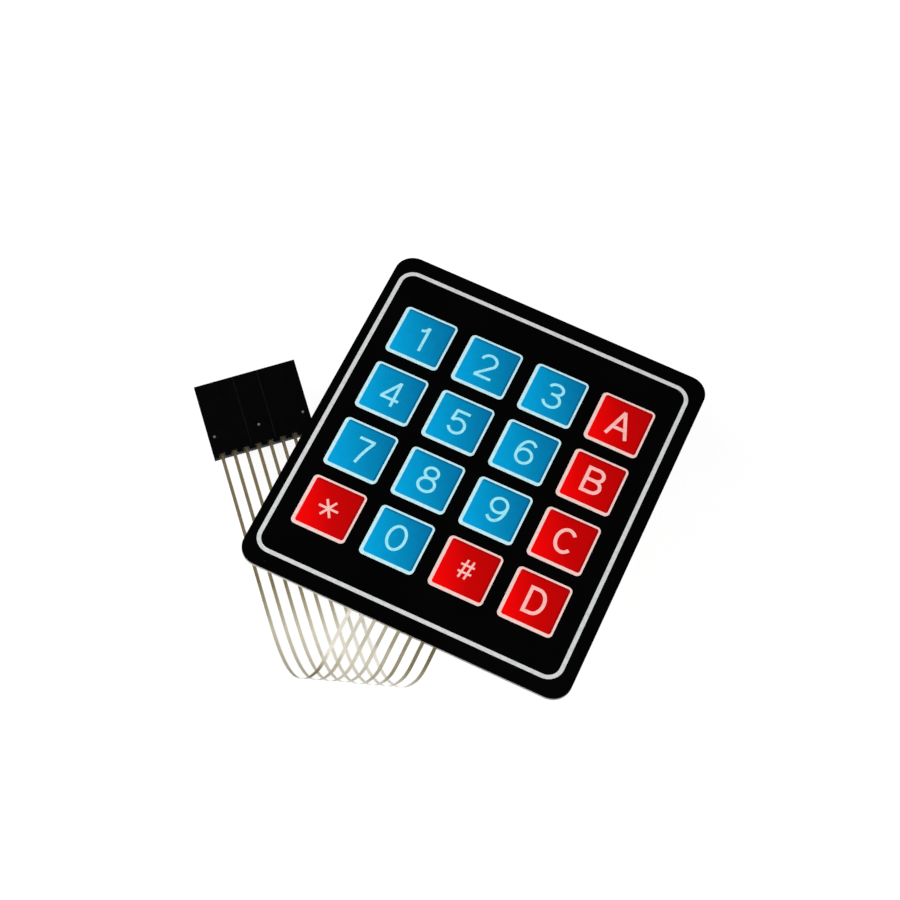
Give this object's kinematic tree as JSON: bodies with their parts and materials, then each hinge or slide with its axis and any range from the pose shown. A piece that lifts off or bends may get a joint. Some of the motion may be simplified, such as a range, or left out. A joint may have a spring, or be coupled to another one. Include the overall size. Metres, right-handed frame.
{
  "type": "membrane keypad",
  "caption": "Flat membrane keypad with a square grid of printed keys, an adhesive back, and a clear printed tail that curls under the pad to a flat pin socket.",
  "frame": {"origin": "middle of the pad's rear face, on the back of the release liner", "axes": "+Z out of the printed front, +Y towards the top row of keys, +X to the right as the keys are read"},
  "size_m": [0.0957, 0.0905, 0.0217],
  "materials": {
    "overlay_black": "fine satin polyester film, printed black",
    "print_white": "screen-printed white ink",
    "print_blue": "screen-printed blue ink",
    "print_red": "screen-printed red ink",
    "adhesive": "pressure-sensitive adhesive sheet",
    "clear_film": "clear polyester film",
    "conductor_ink": "screen-printed conductive ink",
    "liner_paper": "coated release paper",
    "housing_black": "moulded black plastic",
    "contact_tin": "tin-plated sheet metal"
  },
  "bodies": {
    "root": {"graphic_overlay": "overlay_black", "white_print": "print_white", "blue_print": "print_blue", "red_print": "print_red", "overlay_adhesive": "adhesive", "upper_circuit_film": "clear_film", "column_conductor_1": "conductor_ink", "column_conductor_2": "conductor_ink", "column_conductor_3": "conductor_ink", "column_conductor_4": "conductor_ink", "circuit_spacer": "clear_film", "row_conductor_1": "conductor_ink", "row_conductor_2": "conductor_ink", "row_conductor_3": "conductor_ink", "row_conductor_4": "conductor_ink", "lower_circuit_film": "clear_film", "rear_adhesive": "adhesive", "release_liner": "liner_paper", "connector_housing": "housing_black", "contact_1": "contact_tin", "contact_2": "contact_tin", "contact_3": "contact_tin", "contact_4": "contact_tin", "contact_5": "contact_tin", "contact_6": "contact_tin", "contact_7": "contact_tin", "contact_8": "contact_tin"}
  },
  "joints": []
}
